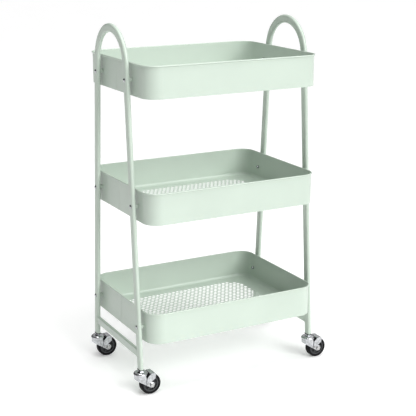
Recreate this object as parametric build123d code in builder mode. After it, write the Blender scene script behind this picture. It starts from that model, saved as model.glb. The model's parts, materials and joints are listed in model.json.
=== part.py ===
from build123d import *
import os
from math import acos, atan2, cos, hypot, pi, sin, tan

# Rolling utility cart: three open trays bolted between two arched end frames on swivel casters.
# Millimetres, +Z up, the floor is z = 0, and the trays' long side lies along X.
# "Left" is -X, "front" is -Y.

# End frames: one flattened tube each, two splayed legs that run into a round handle arch.
overall_height = 850
frame_x = 232.5             # from the middle of the trays to a frame's centre plane
tube_width = 20             # in the plane of the frame
tube_thickness = 10         # across it
tube_wall = 1.0
arch_radius = 80            # centreline of the handle arch
foot_y = 129                # centreline of a leg at its foot
foot_z = 65

# Crossbars, one between the legs of each frame.
crossbar_z = 101.5
crossbar_height = 19
crossbar_thickness = 8.6
crossbar_wall = 1.2

# Trays: a sheet band with a rolled bead, and a perforated floor on its inward flange.
tray_length = 442
tray_width = 332
tray_corner = 35
tray_depth = 73.5
sheet = 1.2
bead_radius = 1.8
flange_width = 12
tray_rims = {"bottom": 206, "middle": 489, "top": 772}
floor_gap = 0.4             # between the floor's edge and the band
seam_width = 0.8
seam_depth = 0.5
seam_strip_width = 20

# Staggered round openings of the floors.
hole_pitch = 11.4
hole_radius = 4.8
field_length = 358
field_width = 268
field_corner = 34

# Fasteners that hold a tray to the legs: dome-head bolt, spacer and cap nut.
bolt_drop = 39              # below the tray's rim
bolt_radius = 2
bolt_hole_radius = 2.2
bolt_head_radius = 4.6
bolt_head_height = 2.8
bolt_head_rim = 0.8
spacer_radius = 5
cap_nut_flats = 7.4
cap_nut_hex_height = 3.2
cap_nut_height = 6.4

# Casters, drawn with the stem on the Z axis and the wheel trailing towards +X.
wheel_radius = 25
wheel_width = 18
trail = 23
axle_radius = 3
core_radius = 19
hub_radius = 6.5
hub_width = 21.2
spoke_count = 6
fork_inner_width = 22
fork_sheet = 1.6
fork_top = 52.6
fork_nose = -16
fork_disc_radius = 15.5
axle_eye_radius = 7
stem_thread_radius = 3
stem_thread_length = 18
stem_shank_radius = 4
collar_flats = 13
collar_height = 4
plug_flange = 2
cup_radius = 17
cup_bottom = 53
cup_roof = 55.9
ball_radius = 1.5
ball_circle = 10.5
ball_count = 12
saddle_gap = 0.4            # between the fork's cheeks and the brake saddle
saddle_sheet = 1.4
saddle_underside = 52.4
brake_x = 13
brake_z = 29
brake_eye_radius = 5
rivet_radius = 2
rivet_head_radius = 3.2
rivet_head_height = 1.3
running = 0.05              # radial clearance of what turns
snug = 0.02                 # radial clearance of what is pressed or screwed

# Worked out from the dimensions above.
arch_z = overall_height - tube_width / 2 - arch_radius
rise = arch_z - foot_z
lean = acos(arch_radius / hypot(foot_y, rise)) - atan2(rise, foot_y)
collar_top = foot_z - plug_flange
cup_top = collar_top - collar_height
fork_width = fork_inner_width + 2 * fork_sheet
saddle_inner_width = fork_width + 2 * saddle_gap
saddle_width = saddle_inner_width + 2 * saddle_sheet
tray_plane_gap = frame_x - tube_thickness / 2 - tray_length / 2
# The trailing wheels reach further out on +X than anything does on -X, so the trays stand
# this far off the origin, which is the middle of the whole footprint.
centre_x = (cup_radius - trail - wheel_radius) / 2

sides = {"left": -1, "right": 1}
ends = {"front": -1, "rear": 1}

os.makedirs("parts", exist_ok=True)


def save(piece, name):
    piece.part.label = name
    export_step(piece.part, f"parts/{name}.step")


def leg_y(z):
    return foot_y - (z - foot_z) * tan(lean)


def facing_x(x, y, z, direction):
    """A place at (x, y, z) in the trays' frame whose local Z points along +X or -X."""
    return Plane((centre_x + x, y, z), x_dir=(0, 1, 0), z_dir=(direction, 0, 0)).location


def bolt_places(rim, x, outwards):
    """The four bolt axes of a tray at distance x from its middle."""
    z = rim - bolt_drop
    return [
        facing_x(side * x, end * leg_y(z), z, side * outwards)
        for side in sides.values()
        for end in ends.values()
    ]


# ---- End frames -------------------------------------------------------------------------

def frame_tube(side, width, thickness, inner_width=0, inner_thickness=0):
    """A frame's tube, swept up one leg, over the arch and down the other."""
    x = centre_x + side * frame_x
    below = 12
    tangent_y = arch_radius * cos(lean)
    tangent_z = arch_z + arch_radius * sin(lean)
    low_y = leg_y(foot_z - below)
    with BuildPart() as tube:
        with BuildLine(Plane.YZ.offset(x)) as path:
            Line((-low_y, foot_z - below), (-tangent_y, tangent_z))
            ThreePointArc((-tangent_y, tangent_z), (0, arch_z + arch_radius), (tangent_y, tangent_z))
            Line((tangent_y, tangent_z), (low_y, foot_z - below))
        start = Plane((x, -low_y, foot_z - below), x_dir=(1, 0, 0), z_dir=(0, sin(lean), cos(lean)))
        with BuildSketch(start):
            SlotOverall(width, thickness, rotation=90)
            if inner_width:
                SlotOverall(inner_width, inner_thickness, rotation=90, mode=Mode.SUBTRACT)
        sweep(path=path.line)
        split(bisect_by=Plane.XY.offset(foot_z), keep=Keep.TOP)
    return tube


def arch_frame(side):
    bolt_points = [
        (end * leg_y(rim - bolt_drop), rim - bolt_drop)
        for rim in tray_rims.values()
        for end in ends.values()
    ]
    tube = frame_tube(side, tube_width, tube_thickness, tube_width - 2 * tube_wall,
                      tube_thickness - 2 * tube_wall)
    with BuildPart() as frame:
        add(tube.part)
        with BuildSketch(Plane.YZ.offset(centre_x + side * frame_x)):
            with Locations(*bolt_points):
                Circle(bolt_hole_radius)
        extrude(amount=tube_thickness, both=True, mode=Mode.SUBTRACT)
    return frame


def crossbar(side):
    envelope = frame_tube(side, tube_width, tube_thickness)
    half_length = leg_y(crossbar_z)
    with BuildPart() as bar:
        with BuildSketch(Plane.XZ.offset(-half_length)):
            with Locations((centre_x + side * frame_x, crossbar_z)):
                RectangleRounded(crossbar_thickness, crossbar_height, 2.5)
                RectangleRounded(crossbar_thickness - 2 * crossbar_wall,
                                 crossbar_height - 2 * crossbar_wall, 1.3, mode=Mode.SUBTRACT)
        extrude(amount=2 * half_length)
        add(envelope.part, mode=Mode.SUBTRACT)
    return bar


for side_name, side in sides.items():
    save(arch_frame(side), f"{side_name}_arch_frame")
    save(crossbar(side), f"{side_name}_crossbar")


# ---- Trays ------------------------------------------------------------------------------

def tray_wall(rim):
    bottom = rim - tray_depth
    half_length = tray_length / 2
    half_width = tray_width / 2
    bolt_z = rim - bolt_drop
    with BuildPart() as wall:
        with BuildLine(Plane((centre_x, 0, bottom))) as outline:
            FilletPolyline(
                (half_length, -half_width), (half_length, half_width),
                (-half_length, half_width), (-half_length, -half_width),
                radius=tray_corner, close=True,
            )
        tangent = outline.line % 0
        outwards = tangent.cross(Vector(0, 0, 1))
        with BuildSketch(Plane(outline.line @ 0, x_dir=outwards, z_dir=tangent * -1)):
            with Locations((-sheet / 2, (tray_depth - bead_radius) / 2)):
                Rectangle(sheet, tray_depth - bead_radius)
            with Locations((-flange_width / 2, sheet / 2)):
                Rectangle(flange_width, sheet)
            with Locations((bead_radius - sheet, tray_depth - bead_radius)):
                Circle(bead_radius)
        sweep(path=outline.line)
        with BuildSketch(Plane.YZ.offset(centre_x)):
            with Locations((-leg_y(bolt_z), bolt_z), (leg_y(bolt_z), bolt_z)):
                Circle(bolt_hole_radius)
        extrude(amount=half_length + sheet, both=True, mode=Mode.SUBTRACT)
        # The band's ends meet in a vertical seam on the left, with a welded strip behind it.
        seam_height = tray_depth - 2 * bead_radius
        seam_z = bottom + seam_height / 2
        with Locations((centre_x - half_length + seam_depth / 2, 0, seam_z)):
            Box(seam_depth, seam_width, seam_height, mode=Mode.SUBTRACT)
        with Locations((centre_x - half_length + 1.5 * sheet, 0, seam_z + sheet * 2)):
            Box(sheet, seam_strip_width, seam_height - 6 * sheet)
    return wall


def opening_centres():
    """Centres of the staggered openings that lie inside the rounded perforated field."""
    row_pitch = hole_pitch * sin(pi / 3)
    reach_x = field_length / 2 - hole_radius
    reach_y = field_width / 2 - hole_radius
    inner_x = field_length / 2 - field_corner
    inner_y = field_width / 2 - field_corner
    rows = int(reach_y // row_pitch)
    columns = int(reach_x // hole_pitch) + 1
    centres = []
    for row in range(-rows, rows + 1):
        shift = hole_pitch / 2 if row % 2 else 0
        for column in range(-columns, columns + 1):
            x = column * hole_pitch + shift
            y = row * row_pitch
            past_corner = hypot(max(abs(x) - inner_x, 0), max(abs(y) - inner_y, 0))
            if abs(x) <= reach_x and past_corner <= field_corner - hole_radius:
                centres.append((x, y))
    return centres


def floor_outline():
    """The perforated panel's outline with all its openings."""
    inset = 2 * (sheet + floor_gap)
    with BuildSketch() as outline:
        RectangleRounded(tray_length - inset, tray_width - inset, tray_corner - inset / 2)
        with Locations(*opening_centres()):
            Circle(hole_radius, mode=Mode.SUBTRACT)
    return outline


def tray_floor(outline, underside):
    place = Location((centre_x, 0, underside))
    with BuildPart() as panel:
        extrude(outline.sketch.moved(place), amount=sheet, clean=False)
    return panel


def dome(radius, low, high):
    """A spherical cap's profile, from its rim at height low to its crown on the axis."""
    sphere_radius = (radius ** 2 + (high - low) ** 2) / (2 * (high - low))
    half_angle = atan2(radius, low - high + sphere_radius) / 2
    middle = (sphere_radius * sin(half_angle), high - sphere_radius * (1 - cos(half_angle)))
    return ThreePointArc((radius, low), middle, (0, high))


def dome_bolt():
    """A bolt with its head's seat at z = 0 and its shank along -Z."""
    length = tube_thickness + tray_plane_gap + sheet + cap_nut_hex_height
    with BuildPart() as bolt:
        with BuildSketch(Plane.XZ):
            with BuildLine():
                Polyline((0, bolt_head_height), (0, -length), (bolt_radius, -length),
                         (bolt_radius, 0), (bolt_head_radius, 0),
                         (bolt_head_radius, bolt_head_rim))
                dome(bolt_head_radius, bolt_head_rim, bolt_head_height)
            make_face()
        revolve(axis=Axis.Z)
    return bolt


def cap_nut():
    """A domed nut with its seat at z = 0 and its dome along +Z."""
    dome_radius = cap_nut_flats / 2 - 0.2
    hole = bolt_radius + snug
    hole_depth = cap_nut_hex_height + 0.8
    with BuildPart() as nut:
        with BuildSketch():
            RegularPolygon(cap_nut_flats / 2, 6, major_radius=False)
            Circle(hole, mode=Mode.SUBTRACT)
        extrude(amount=cap_nut_hex_height)
        with BuildSketch(Plane.XZ):
            with BuildLine():
                Polyline((0, cap_nut_height), (0, hole_depth), (hole, hole_depth),
                         (hole, cap_nut_hex_height - 1), (dome_radius, cap_nut_hex_height - 1),
                         (dome_radius, cap_nut_hex_height))
                dome(dome_radius, cap_nut_hex_height, cap_nut_height)
            make_face()
        revolve(axis=Axis.Z)
    return nut


def spacer():
    """A distance ring with one face at z = 0."""
    with BuildPart() as ring:
        with BuildSketch():
            Circle(spacer_radius)
            Circle(bolt_hole_radius, mode=Mode.SUBTRACT)
        extrude(amount=tray_plane_gap)
    return ring


def group(piece, places):
    """Copies of one piece at several places, as one node."""
    with BuildPart() as copies:
        with Locations(*places):
            add(piece.part)
    return copies


perforated = floor_outline()
bolt = dome_bolt()
nut = cap_nut()
ring = spacer()
outer_face = frame_x + tube_thickness / 2
for tray_name, rim in tray_rims.items():
    prefix = f"{tray_name}_tray"
    save(tray_wall(rim), f"{prefix}_wall")
    save(tray_floor(perforated, rim - tray_depth + sheet), f"{prefix}_floor")
    save(group(bolt, bolt_places(rim, outer_face, 1)), f"{prefix}_bolts")
    save(group(ring, bolt_places(rim, tray_length / 2, 1)), f"{prefix}_spacers")
    save(group(nut, bolt_places(rim, tray_length / 2 - sheet, -1)), f"{prefix}_cap_nuts")


# ---- Leg ends ---------------------------------------------------------------------------

def end_plug(end):
    """A plug for a leg on the front or rear, with the leg's foot at the origin."""
    depth = 20
    fit = 0.2
    core_width = tube_width - 2 * tube_wall - fit
    core_thickness = tube_thickness - 2 * tube_wall - fit
    with BuildPart() as plug:
        with BuildSketch(Plane.XY.offset(-plug_flange)):
            SlotOverall(tube_width + 1.2, tube_thickness + 1.2, rotation=90)
        extrude(amount=plug_flange)
        with BuildSketch():
            SlotOverall(core_width, core_thickness, rotation=90)
        extrude(amount=depth, dir=(0, -end * sin(lean), cos(lean)))
        with BuildSketch(Plane.XY.offset(-plug_flange)):
            Circle(stem_thread_radius + snug)
        extrude(amount=plug_flange + depth, mode=Mode.SUBTRACT)
    return plug


def leg_end_plugs():
    with BuildPart() as plugs:
        for end in ends.values():
            plug = end_plug(end)
            with Locations(*[(centre_x + side * frame_x, end * foot_y, foot_z) for side in sides.values()]):
                add(plug.part)
    return plugs


save(leg_end_plugs(), "leg_end_plugs")


# ---- Casters ----------------------------------------------------------------------------

def stem():
    """Threaded stem, hex collar, shank and the rivet head that holds the fork."""
    head_top = fork_top - fork_sheet - 0.1
    with BuildPart() as piece:
        with BuildSketch(Plane.XY.offset(cup_top)):
            RegularPolygon(collar_flats / 2, 6, major_radius=False)
        extrude(amount=collar_height)
        with BuildSketch(Plane.XY.offset(collar_top)):
            Circle(stem_thread_radius)
        extrude(amount=stem_thread_length)
        with BuildSketch(Plane.XY.offset(head_top)):
            Circle(stem_shank_radius)
        extrude(amount=cup_top - head_top)
        with BuildSketch(Plane.XY.offset(head_top - 2)):
            Circle(6.5)
        extrude(amount=2)
        fillet(piece.edges().group_by(Axis.Z)[0], radius=0.8)
    return piece


def top_cup():
    """Domed cup over the swivel's ball race."""
    inner = cup_radius - 1.5
    hole = stem_shank_radius + snug
    flat = collar_flats / 2 + 2.5
    with BuildPart() as cup:
        with BuildSketch(Plane.XZ):
            with BuildLine():
                Polyline((flat, cup_top), (hole, cup_top), (hole, cup_roof), (inner, cup_roof),
                         (inner, cup_bottom), (cup_radius, cup_bottom), (cup_radius, cup_bottom + 2))
                ThreePointArc((cup_radius, cup_bottom + 2), (cup_radius - 2.2, cup_top - 1.3),
                              (flat, cup_top))
            make_face()
        revolve(axis=Axis.Z)
    return cup


def bearing_balls():
    with BuildPart() as balls:
        with Locations((0, 0, (fork_top + cup_roof) / 2)):
            with PolarLocations(ball_circle, ball_count):
                Sphere(ball_radius)
    return balls


def fork():
    """Hooded fork: two cheeks joined by a rounded nose and a top plate."""
    low = 19
    nose_low = 42.5
    with BuildPart() as body:
        with BuildSketch(Plane.XZ):
            Polygon(
                (fork_nose, fork_top), (fork_nose, nose_low),
                (trail - axle_eye_radius * 0.5, low), (trail + axle_eye_radius * 0.5, 31),
                (10, 40), (7.5, fork_top), align=None,
            )
            with Locations((trail, wheel_radius)):
                Circle(axle_eye_radius)
        extrude(amount=fork_width / 2, both=True)
        fillet(body.edges().filter_by(Axis.Z).group_by(Axis.X)[0], radius=fork_width / 2 - 1)
        with BuildSketch(Plane.XY.offset(fork_top - fork_sheet)):
            Circle(fork_disc_radius)
        extrude(amount=fork_sheet)
    with BuildPart() as inside:
        with BuildSketch():
            with Locations((fork_nose + fork_sheet + 40, 0)):
                Rectangle(80, fork_inner_width)
        extrude(amount=fork_top - fork_sheet)
        fillet(inside.edges().filter_by(Axis.Z).group_by(Axis.X)[0],
               radius=fork_width / 2 - 1 - fork_sheet)
    with BuildPart() as piece:
        add(body.part)
        add(inside.part, mode=Mode.SUBTRACT)
        with BuildSketch(Plane.XY.offset(fork_top - fork_sheet)):
            Circle(stem_shank_radius + running)
        extrude(amount=fork_sheet, mode=Mode.SUBTRACT)
        with BuildSketch(Plane.XZ):
            with Locations((trail, wheel_radius)):
                Circle(axle_radius + snug)
            with Locations((brake_x, brake_z)):
                Circle(rivet_radius + snug)
        extrude(amount=fork_width, both=True, mode=Mode.SUBTRACT)
    return piece


def axle_plane(y):
    """A plane across the axle at y, with its normal along -Y."""
    return Plane((trail, y, wheel_radius), x_dir=(1, 0, 0), z_dir=(0, -1, 0))


def axle_bolt():
    head = 3.8
    nut_end = fork_width / 2 + 6
    with BuildPart() as piece:
        with BuildSketch(axle_plane(-fork_width / 2)):
            RegularPolygon(5, 6, major_radius=False)
        extrude(amount=head)
        chamfer(piece.faces().sort_by(Axis.Y)[0].edges(), length=0.6)
        with BuildSketch(axle_plane(nut_end)):
            Circle(axle_radius)
        extrude(amount=nut_end + fork_width / 2)
        chamfer(piece.faces().sort_by(Axis.Y)[-1].edges(), length=0.5)
    return piece


def axle_nut():
    height = 4.6
    with BuildPart() as piece:
        with BuildSketch(axle_plane(fork_width / 2 + height)):
            RegularPolygon(5, 6, major_radius=False)
            Circle(axle_radius + snug, mode=Mode.SUBTRACT)
        extrude(amount=height)
    return piece


def wheel_core():
    """Moulded wheel centre: hub, thin web, spokes on both faces and a rim."""
    rim_inner = 16
    rim_width = 14
    web_width = 4
    spoke_width = 2.6
    spoke_depth = 11
    with BuildPart() as core:
        with BuildSketch(axle_plane(0)):
            Circle(core_radius)
            Circle(rim_inner, mode=Mode.SUBTRACT)
        extrude(amount=rim_width / 2, both=True)
        with BuildSketch(axle_plane(0)):
            Circle(rim_inner + 1)
        extrude(amount=web_width / 2, both=True)
        with BuildSketch(axle_plane(0)):
            Circle(hub_radius)
        extrude(amount=hub_width / 2, both=True)
        with BuildSketch(axle_plane(0)):
            with PolarLocations((hub_radius + rim_inner) / 2, spoke_count):
                Rectangle(rim_inner - hub_radius + 2, spoke_width)
        extrude(amount=spoke_depth / 2, both=True)
        with BuildSketch(axle_plane(0)):
            Circle(axle_radius + running)
        extrude(amount=hub_width / 2, both=True, mode=Mode.SUBTRACT)
    return core


def tyre():
    with BuildPart() as piece:
        with BuildSketch(axle_plane(0)):
            Circle(wheel_radius)
        extrude(amount=wheel_width / 2, both=True)
        fillet(piece.edges().filter_by(GeomType.CIRCLE), radius=3.2)
        with BuildSketch(axle_plane(0)):
            Circle(core_radius + snug)
        extrude(amount=wheel_width / 2, both=True, mode=Mode.SUBTRACT)
    return piece


def brake_saddle():
    """Inverted U over the wheel, pivoted on the fork's cheeks and pressed down by foot."""
    top = saddle_underside + saddle_sheet
    rear = 33
    with BuildPart() as piece:
        with BuildSketch(Plane.XZ):
            Polygon(
                (brake_x - 4.4, brake_z + 2), (11, 45), (20.5, top), (rear, top), (rear - 1.5, 41),
                (brake_x + 4.5, brake_z + 2.5), align=None,
            )
            with Locations((brake_x, brake_z)):
                Circle(brake_eye_radius)
                Circle(rivet_radius + running, mode=Mode.SUBTRACT)
        extrude(amount=saddle_width / 2, both=True)
        upper_corners = piece.edges().filter_by(Axis.Y).group_by(Axis.Z)[-1]
        fillet(upper_corners.sort_by(Axis.X)[-1], radius=3)
        with BuildSketch(Plane.XY.offset(0)):
            with Locations((brake_x + 10, 0)):
                Rectangle(60, saddle_inner_width)
        extrude(amount=saddle_underside, mode=Mode.SUBTRACT)
    return piece


def brake_rivets():
    """Two short pivots, one on each cheek, flush inside so that they clear the wheel."""
    inner = fork_inner_width / 2
    face = saddle_width / 2 + 0.15
    with BuildPart() as rivets:
        for end in ends.values():
            outwards = (0, end, 0)
            place = Plane((brake_x, end * inner, brake_z), x_dir=(1, 0, 0), z_dir=outwards)
            with BuildSketch(place):
                Circle(rivet_radius)
            extrude(amount=face - inner)
            with BuildSketch(place.offset(face - inner)):
                Circle(rivet_head_radius)
            extrude(amount=rivet_head_height, taper=20)
    return rivets


caster_places = {
    f"{end_name}_{side_name}": (centre_x + side * frame_x, end * foot_y, 0)
    for end_name, end in ends.items()
    for side_name, side in sides.items()
}
save(group(stem(), caster_places.values()), "caster_stems")
save(group(top_cup(), caster_places.values()), "caster_top_cups")

caster_pieces = {
    "fork": fork(),
    "bearing_balls": bearing_balls(),
    "axle_bolt": axle_bolt(),
    "axle_nut": axle_nut(),
    "wheel_core": wheel_core(),
    "tyre": tyre(),
    "brake_saddle": brake_saddle(),
    "brake_rivets": brake_rivets(),
}
for corner, place in caster_places.items():
    for piece_name, piece in caster_pieces.items():
        save(group(piece, [place]), f"{corner}_caster_{piece_name}")
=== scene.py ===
import json
import math

import bmesh
import bpy
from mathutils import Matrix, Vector


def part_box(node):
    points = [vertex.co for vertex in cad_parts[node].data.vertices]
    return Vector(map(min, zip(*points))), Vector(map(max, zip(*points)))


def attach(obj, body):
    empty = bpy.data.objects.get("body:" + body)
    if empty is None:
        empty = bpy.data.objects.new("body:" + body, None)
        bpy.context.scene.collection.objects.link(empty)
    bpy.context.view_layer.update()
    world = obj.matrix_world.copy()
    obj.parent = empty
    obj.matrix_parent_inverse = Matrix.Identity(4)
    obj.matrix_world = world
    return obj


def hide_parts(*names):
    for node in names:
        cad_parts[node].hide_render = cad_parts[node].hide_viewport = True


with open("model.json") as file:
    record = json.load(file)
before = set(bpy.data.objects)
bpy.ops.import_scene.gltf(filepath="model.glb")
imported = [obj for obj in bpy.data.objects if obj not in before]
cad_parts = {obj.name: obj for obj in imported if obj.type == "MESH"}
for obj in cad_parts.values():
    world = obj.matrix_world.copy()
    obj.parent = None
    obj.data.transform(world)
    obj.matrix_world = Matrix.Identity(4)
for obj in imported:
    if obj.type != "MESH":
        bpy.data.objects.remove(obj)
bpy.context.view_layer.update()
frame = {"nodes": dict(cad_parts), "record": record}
nodes = frame["nodes"]

# Metres, in the cart's own frame: +Z up, "left" is -X, "front" is -Y.
MM = 0.001
CORNERS = ("front_left", "front_right", "rear_left", "rear_right")
TRAYS = ("bottom", "middle", "top")
SIDES = ("left", "right")

# The camera, and the point that it looks at, from the middle of the trays.
CAMERA_AZIMUTH = math.radians(-28.35)
CAMERA_ELEVATION = math.radians(15.35)
CAMERA_DISTANCE = 2.596
CAMERA_AIM = Vector((0.0153, 0.0, 0.3897))
CAMERA_LENS = 91.5
SENSOR_WIDTH = 36.0

# The studio: lights, floor, and the surroundings' brightness by direction.
WORLD_STRENGTH = 0.85
WORLD_SIDEWAYS = [(-0.9, 0.10), (-0.3, 0.35), (0.5, 1.0)]
WORLD_UPWARDS = [(0.05, 0.02), (0.25, 0.06), (0.38, 0.9), (1.0, 1.5)]
SUN_STRENGTH = 2.45
SUN_DIRECTION = (-0.25, 0.86, -0.45)
SUN_WIDTH = 35
TOP_LIGHT_PLACE = Vector((-0.5, -0.5, 2.9))
TOP_LIGHT_TARGET = Vector((0, 0, 0.5))
TOP_LIGHT_SIZE = 1.3
TOP_LIGHT_POWER = 34
FLOOR_GLOW = 0.21
FLOOR_REACH = 30.0

# The cove between a tray's floor and its band.
COVE_INSET = 3.58 * MM
COVE_RADIUS = 7 * MM
COVE_CORNER = 33.8 * MM
COVE_SUNK = 0.1 * MM
COVE_STEPS = 8

# The beads round the crossbars' ends.
BEAD_STEPS = 88
BEAD_INSET = 0.25 * MM
BEAD_FROM_END = 1.1 * MM
BEAD_RADIUS = 1.15
BEAD_RIPPLE = 0.16
BEAD_SQUARENESS = 0.35
LEG_LEAN = math.tan(math.radians(4.0))

# ShaderNodeMix repeats its socket names, so its colour inputs go by number.
MIX_COLOUR_A = 6
MIX_COLOUR_B = 7

# Linear base colours.
MINT = (0.478, 0.558, 0.486)
MINT_PALE = (0.560, 0.640, 0.568)
CHROME = (0.56, 0.57, 0.59)
ZINC = (0.50, 0.50, 0.50)
BLACK = (0.012, 0.012, 0.013)
RUBBER = (0.006, 0.006, 0.007)
WHEEL_GREY = (0.050, 0.052, 0.055)


# ---- Materials --------------------------------------------------------------------------

class Surface:
    """A Principled material with small helpers for its noise-driven inputs."""

    def __init__(self, name, metallic=0.0, specular=0.5):
        self.material = bpy.data.materials.new(name)
        self.material.use_nodes = True
        self.tree = self.material.node_tree
        self.shader = self.tree.nodes["Principled BSDF"]
        self.shader.inputs["Metallic"].default_value = metallic
        self.shader.inputs["Specular IOR Level"].default_value = specular
        self.place = self.node("ShaderNodeTexCoord").outputs["Object"]

    def node(self, kind, **settings):
        made = self.tree.nodes.new(kind)
        for key, value in settings.items():
            setattr(made, key, value)
        return made

    def link(self, source, target):
        self.tree.links.new(source, target)

    def noise(self, scale, detail=2.0, roughness=0.5, stretch=(1, 1, 1)):
        mapping = self.node("ShaderNodeMapping")
        mapping.inputs["Scale"].default_value = stretch
        self.link(self.place, mapping.inputs["Vector"])
        noise = self.node("ShaderNodeTexNoise")
        noise.inputs["Scale"].default_value = scale
        noise.inputs["Detail"].default_value = detail
        noise.inputs["Roughness"].default_value = roughness
        self.link(mapping.outputs["Vector"], noise.inputs["Vector"])
        return noise.outputs["Fac"]

    def colour(self, factor, stops):
        """Base colour from a factor, through a ramp of (position, linear colour)."""
        ramp = self.node("ShaderNodeValToRGB")
        elements = ramp.color_ramp.elements
        while len(elements) < len(stops):
            elements.new(0.5)
        for element, (position, value) in zip(elements, stops):
            element.position = position
            element.color = (*value, 1.0)
        self.link(factor, ramp.inputs["Fac"])
        self.link(ramp.outputs["Color"], self.shader.inputs["Base Color"])

    def spread(self, factor, low, high):
        """Roughness that varies with a factor between low and high."""
        spread = self.node("ShaderNodeMapRange")
        spread.inputs["From Min"].default_value = 0.3
        spread.inputs["From Max"].default_value = 0.7
        spread.inputs["To Min"].default_value = low
        spread.inputs["To Max"].default_value = high
        self.link(factor, spread.inputs["Value"])
        self.link(spread.outputs["Result"], self.shader.inputs["Roughness"])

    def bump(self, *layers):
        """Stacked bumps, each (height, strength, distance in metres)."""
        normal = None
        for height, strength, distance in layers:
            bump = self.node("ShaderNodeBump")
            bump.inputs["Strength"].default_value = strength
            bump.inputs["Distance"].default_value = distance
            self.link(height, bump.inputs["Height"])
            if normal:
                self.link(normal, bump.inputs["Normal"])
            normal = bump.outputs["Normal"]
        self.link(normal, self.shader.inputs["Normal"])


def scaled(colour, amount):
    return tuple(channel * amount for channel in colour)


def powder_coat(name, colour):
    """Satin powder coat: orange peel, a fine speckle and slow changes of tone."""
    coat = Surface(name, specular=0.5)
    tone = coat.noise(9.0, detail=3.0)
    coat.colour(tone, [(0.3, scaled(colour, 0.965)), (0.7, scaled(colour, 1.02))])
    coat.spread(coat.noise(140.0, detail=3.0), 0.36, 0.47)
    coat.bump((coat.noise(620.0, detail=1.0), 0.12, 0.00025), (coat.noise(2600.0), 0.10, 0.00008))
    coat.shader.inputs["Coat Weight"].default_value = 0.45
    coat.shader.inputs["Coat Roughness"].default_value = 0.28
    return coat.material


def chrome_plate():
    """Bright plating over pressed steel: slight waves, haze and hairline scratches."""
    plate = Surface("chrome_plate", metallic=1.0)
    plate.colour(plate.noise(190.0, detail=3.0), [(0.35, scaled(CHROME, 0.62)), (0.65, CHROME)])
    plate.spread(plate.noise(420.0, detail=4.0, roughness=0.7), 0.05, 0.16)
    plate.bump((plate.noise(110.0, detail=1.0), 0.10, 0.0005),
               (plate.noise(900.0, stretch=(1, 1, 9)), 0.05, 0.00006))
    return plate.material


def zinc_steel():
    """Zinc-plated fasteners: brushed round the axis, with darker patches."""
    zinc = Surface("zinc_steel", metallic=1.0)
    zinc.colour(zinc.noise(220.0, detail=4.0), [(0.3, scaled(ZINC, 0.78)), (0.7, ZINC)])
    zinc.spread(zinc.noise(700.0, detail=3.0), 0.22, 0.40)
    zinc.bump((zinc.noise(1500.0, stretch=(1, 6, 1)), 0.15, 0.00008))
    return zinc.material


def moulded_plastic(name, colour, low, high):
    """Injection-moulded plastic with a spark-eroded grain."""
    plastic = Surface(name, specular=0.2)
    plastic.colour(plastic.noise(45.0), [(0.3, scaled(colour, 0.85)), (0.7, scaled(colour, 1.15))])
    plastic.spread(plastic.noise(500.0, detail=3.0), low, high)
    plastic.bump((plastic.noise(1900.0, detail=3.0), 0.22, 0.00010))
    return plastic.material


def tread_rubber():
    """Black rubber with a little floor dust in its grain."""
    rubber = Surface("tread_rubber", specular=0.12)
    dust = rubber.noise(160.0, detail=6.0, roughness=0.7)
    rubber.colour(dust, [(0.45, RUBBER), (0.62, scaled(RUBBER, 1.5)), (0.85, (0.026, 0.026, 0.025))])
    rubber.spread(dust, 0.48, 0.72)
    rubber.bump((rubber.noise(1300.0, detail=4.0), 0.30, 0.00015))
    return rubber.material


def floor_paint():
    paint = Surface("studio_floor", specular=0.2)
    paint.colour(paint.noise(3.0), [(0.3, (0.90, 0.90, 0.90)), (0.7, (0.92, 0.92, 0.92))])
    paint.spread(paint.noise(60.0), 0.55, 0.65)
    paint.shader.inputs["Emission Color"].default_value = (1, 1, 1, 1)
    paint.shader.inputs["Emission Strength"].default_value = FLOOR_GLOW
    return paint.material


MINT_COAT = powder_coat("mint_powder_coat", MINT)
SPACER_COAT = powder_coat("pale_powder_coat", MINT_PALE)
CHROME_PLATE = chrome_plate()
ZINC_STEEL = zinc_steel()
BLACK_PLASTIC = moulded_plastic("black_plastic", BLACK, 0.38, 0.52)
GREY_PLASTIC = moulded_plastic("grey_plastic", WHEEL_GREY, 0.34, 0.48)
TREAD_RUBBER = tread_rubber()

SLOT_MATERIALS = {
    "painted_steel": MINT_COAT,
    "painted_spacer": SPACER_COAT,
    "chromed_steel": CHROME_PLATE,
    "bright_steel": ZINC_STEEL,
    "bearing_steel": CHROME_PLATE,
    "black_plastic": BLACK_PLASTIC,
    "grey_plastic": GREY_PLASTIC,
    "black_rubber": TREAD_RUBBER,
}


def dress_cad_nodes():
    """Gives every CAD node the material of its slot."""
    for part in frame["record"]["subparts"]:
        piece = nodes[part["node"]]
        piece.data.materials.clear()
        piece.data.materials.append(SLOT_MATERIALS[part["material_slot"]])


# ---- Pieces made here --------------------------------------------------------------------

def add_mesh(name, mesh, material, body):
    piece = bpy.data.objects.new(name, mesh)
    bpy.context.scene.collection.objects.link(piece)
    mesh.materials.append(material)
    for face in mesh.polygons:
        face.use_smooth = True
    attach(piece, body)
    return piece


def ring_mesh(name, rings_of_points):
    """A closed ring of cross-sections, each a list of points in the same order."""
    mesh = bmesh.new()
    rings = [[mesh.verts.new(point) for point in points] for points in rings_of_points]
    for index, ring in enumerate(rings):
        following = rings[(index + 1) % len(rings)]
        for point in range(len(ring)):
            after = (point + 1) % len(ring)
            mesh.faces.new((ring[point], ring[after], following[after], following[point]))
    bmesh.ops.recalc_face_normals(mesh, faces=mesh.faces)
    data = bpy.data.meshes.new(name)
    mesh.to_mesh(data)
    mesh.free()
    return data


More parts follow.
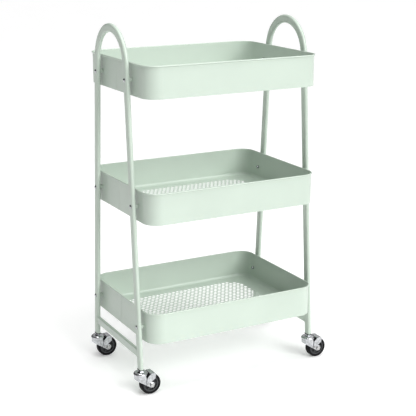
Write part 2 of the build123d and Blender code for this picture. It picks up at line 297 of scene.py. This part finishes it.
def tube_mesh(name, points, radii, around=10):
    """A closed tube through points, with one radius for each."""
    rings = []
    for index, point in enumerate(points):
        tangent = (points[(index + 1) % len(points)] - points[index - 1]).normalized()
        side = tangent.cross(Vector((0, 1, 0)))
        if side.length < 0.2:
            side = tangent.cross(Vector((1, 0, 0)))
        side.normalize()
        up = side.cross(tangent)
        ring = []
        for step in range(around):
            angle = 2 * math.pi * step / around
            offset = (side * math.cos(angle) + up * math.sin(angle)) * radii[index]
            ring.append(point + offset)
        rings.append(ring)
    return ring_mesh(name, rings)


def lathe_mesh(name, profile, centre, steps=96):
    """A closed ring about the Y axis through centre, from (radius, y) points."""
    rings = []
    for step in range(steps):
        angle = 2 * math.pi * step / steps
        ray = Vector((math.cos(angle), 0, math.sin(angle)))
        rings.append([centre + ray * radius + Vector((0, y, 0)) for radius, y in profile])
    return ring_mesh(name, rings)


def weld_bead(side, end):
    """The rippled bead round a crossbar where it meets a leg."""
    low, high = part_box(f"{side}_crossbar")
    half_x = (high.x - low.x) / 2
    half_z = (high.z - low.z) / 2
    centre = (low + high) / 2
    reach = (high.y - low.y) / 2 - BEAD_FROM_END
    points = []
    radii = []
    for step in range(BEAD_STEPS):
        angle = 2 * math.pi * step / BEAD_STEPS
        cosine, sine = math.cos(angle), math.sin(angle)
        x = math.copysign(abs(cosine) ** BEAD_SQUARENESS, cosine) * (half_x - BEAD_INSET)
        z = math.copysign(abs(sine) ** BEAD_SQUARENESS, sine) * (half_z - BEAD_INSET)
        y = reach - z * LEG_LEAN
        points.append(Vector((centre.x + x, end * y, centre.z + z)))
        radii.append((BEAD_RADIUS + BEAD_RIPPLE * math.sin(step * 2.1)) * MM)
    mesh = tube_mesh(f"{side}_crossbar_weld", points, radii)
    name = "front" if end < 0 else "rear"
    add_mesh(f"{side}_{name}_crossbar_weld", mesh, MINT_COAT, "cart")


def detailed_tyre(corner):
    """A moulded tyre with two circumferential grooves and a stepped side wall."""
    node = f"{corner}_caster_tyre"
    low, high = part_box(node)
    centre = (low + high) / 2
    outer = (high.z - low.z) / 2
    half = (high.y - low.y) / 2
    inner = outer - 6 * MM
    groove = 0.7 * MM
    half_profile = [
        (inner, half - 2.6 * MM), (inner + 1.2 * MM, half - 2.2 * MM), (inner + 1.4 * MM, half - 0.9 * MM),
        (inner + 2.0 * MM, half - 0.1 * MM), (inner + 3.2 * MM, half), (outer - 1.4 * MM, half - 0.6 * MM),
        (outer - 0.5 * MM, half - 1.6 * MM), (outer - 0.1 * MM, half - 3.0 * MM), (outer, half - 4.2 * MM),
        (outer, 3.6 * MM), (outer - groove, 3.2 * MM), (outer - groove, 2.6 * MM), (outer, 2.2 * MM),
        (outer, 0.9 * MM),
    ]
    profile = half_profile + [(radius, -y) for radius, y in reversed(half_profile)]
    mesh = lathe_mesh(node + "_moulded", profile, centre)
    piece = add_mesh(node + "_moulded", mesh, TREAD_RUBBER, f"{corner}_caster_wheel")
    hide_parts(node)


def rounded_loop(half_x, half_y, radius, corner_steps=14):
    """Points and outward directions round a rounded rectangle."""
    loop = []
    for quarter, (sign_x, sign_y) in enumerate(((1, 1), (-1, 1), (-1, -1), (1, -1))):
        centre = Vector((sign_x * (half_x - radius), sign_y * (half_y - radius), 0))
        for step in range(corner_steps + 1):
            angle = math.pi / 2 * (quarter + step / corner_steps)
            outwards = Vector((math.cos(angle), math.sin(angle), 0))
            loop.append((centre + outwards * radius, outwards))
    return loop


def tray_cove(tray):
    """The soft inner bend where a tray's floor meets its band."""
    low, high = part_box(f"{tray}_tray_wall")
    floor_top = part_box(f"{tray}_tray_floor")[1].z
    centre = (low + high) / 2
    half = (high - low) / 2
    loop = rounded_loop(half.x - COVE_INSET, half.y - COVE_INSET, COVE_CORNER)
    section = [(0.0, -COVE_SUNK), (COVE_RADIUS, -COVE_SUNK)]
    for step in range(COVE_STEPS + 1):
        angle = math.pi / 2 * step / COVE_STEPS
        section.append((COVE_RADIUS * (1 - math.sin(angle)), COVE_RADIUS * (1 - math.cos(angle))))
    rings = []
    for point, outwards in loop:
        base = Vector((centre.x + point.x, centre.y + point.y, floor_top))
        rings.append([base - outwards * inwards + Vector((0, 0, up)) for inwards, up in section])
    data = ring_mesh(f"{tray}_tray_cove", rings)
    add_mesh(f"{tray}_tray_cove", data, MINT_COAT, "cart")


def build_details():
    for tray in TRAYS:
        tray_cove(tray)
    for side in SIDES:
        for end in (-1, 1):
            weld_bead(side, end)
    for corner in CORNERS:
        detailed_tyre(corner)


# ---- Studio -----------------------------------------------------------------------------

def trays_middle():
    """The middle of the trays, which is the cart's plane of symmetry."""
    low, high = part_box("top_tray_wall")
    return Vector(((low.x + high.x) / 2, 0, 0))


def place_camera():
    target = trays_middle() + CAMERA_AIM
    back = Vector((
        math.sin(CAMERA_AZIMUTH) * math.cos(CAMERA_ELEVATION),
        -math.cos(CAMERA_AZIMUTH) * math.cos(CAMERA_ELEVATION),
        math.sin(CAMERA_ELEVATION),
    ))
    data = bpy.data.cameras.new("camera")
    data.lens = CAMERA_LENS
    data.sensor_width = SENSOR_WIDTH
    camera = bpy.data.objects.new("camera", data)
    bpy.context.scene.collection.objects.link(camera)
    camera.location = target + back * CAMERA_DISTANCE
    camera.rotation_euler = (-back).to_track_quat("-Z", "Y").to_euler()
    bpy.context.scene.camera = camera


def aim(light, towards):
    light.rotation_euler = Vector(towards).to_track_quat("-Z", "Y").to_euler()


def soft_sun(towards, strength, width):
    """A wide soft source that lights the whole floor evenly."""
    data = bpy.data.lights.new("key", "SUN")
    data.energy = strength
    data.angle = math.radians(width)
    light = bpy.data.objects.new("key", data)
    bpy.context.scene.collection.objects.link(light)
    light.location = (1.0, -3.0, 3.0)
    aim(light, towards)


def area_light(name, location, target, size, energy):
    data = bpy.data.lights.new(name, "AREA")
    data.size = size
    data.energy = energy
    light = bpy.data.objects.new(name, data)
    bpy.context.scene.collection.objects.link(light)
    light.location = location
    aim(light, Vector(target) - Vector(location))


def build_floor():
    """A wide floor with a faint glow of its own, so that it looks evenly bright."""
    mesh = bmesh.new()
    bmesh.ops.create_grid(mesh, x_segments=4, y_segments=4, size=FLOOR_REACH)
    data = bpy.data.meshes.new("studio_floor")
    mesh.to_mesh(data)
    mesh.free()
    floor = bpy.data.objects.new("studio_floor", data)
    bpy.context.scene.collection.objects.link(floor)
    data.materials.append(floor_paint())


def ramp_of(tree, value, stops):
    """A grey ramp of a direction's component, from (component, brightness) stops."""
    spread = tree.nodes.new("ShaderNodeMapRange")
    spread.inputs["From Min"].default_value = -1.0
    spread.inputs["From Max"].default_value = 1.0
    tree.links.new(value, spread.inputs["Value"])
    ramp = tree.nodes.new("ShaderNodeValToRGB")
    tree.links.new(spread.outputs["Result"], ramp.inputs["Fac"])
    elements = ramp.color_ramp.elements
    while len(elements) < len(stops):
        elements.new(0.5)
    for element, (component, brightness) in zip(elements, stops):
        element.position = (component + 1) / 2
        element.color = (brightness, brightness, brightness, 1)
    return ramp.outputs["Color"]


def build_world():
    """Surroundings that are bright above and on +X, and dark at the horizon and on -X."""
    world = bpy.data.worlds.new("studio")
    bpy.context.scene.world = world
    world.use_nodes = True
    tree = world.node_tree
    background = tree.nodes["Background"]
    background.inputs["Strength"].default_value = WORLD_STRENGTH
    direction = tree.nodes.new("ShaderNodeTexCoord")
    split = tree.nodes.new("ShaderNodeSeparateXYZ")
    tree.links.new(direction.outputs["Generated"], split.inputs["Vector"])
    sideways = ramp_of(tree, split.outputs["X"], WORLD_SIDEWAYS)
    upwards = ramp_of(tree, split.outputs["Z"], WORLD_UPWARDS)
    mix = tree.nodes.new("ShaderNodeMix")
    mix.data_type = "RGBA"
    mix.blend_type = "MULTIPLY"
    mix.inputs["Factor"].default_value = 1.0
    tree.links.new(sideways, mix.inputs[MIX_COLOUR_A])
    tree.links.new(upwards, mix.inputs[MIX_COLOUR_B])
    tree.links.new(mix.outputs["Result"], background.inputs["Color"])


def build_studio():
    bpy.context.scene.view_settings.view_transform = "Standard"
    build_floor()
    build_world()
    soft_sun(SUN_DIRECTION, SUN_STRENGTH, SUN_WIDTH)
    above = trays_middle() + TOP_LIGHT_PLACE
    target = trays_middle() + TOP_LIGHT_TARGET
    area_light("top", above, target, TOP_LIGHT_SIZE, TOP_LIGHT_POWER)
    place_camera()


dress_cad_nodes()
build_details()
build_studio()
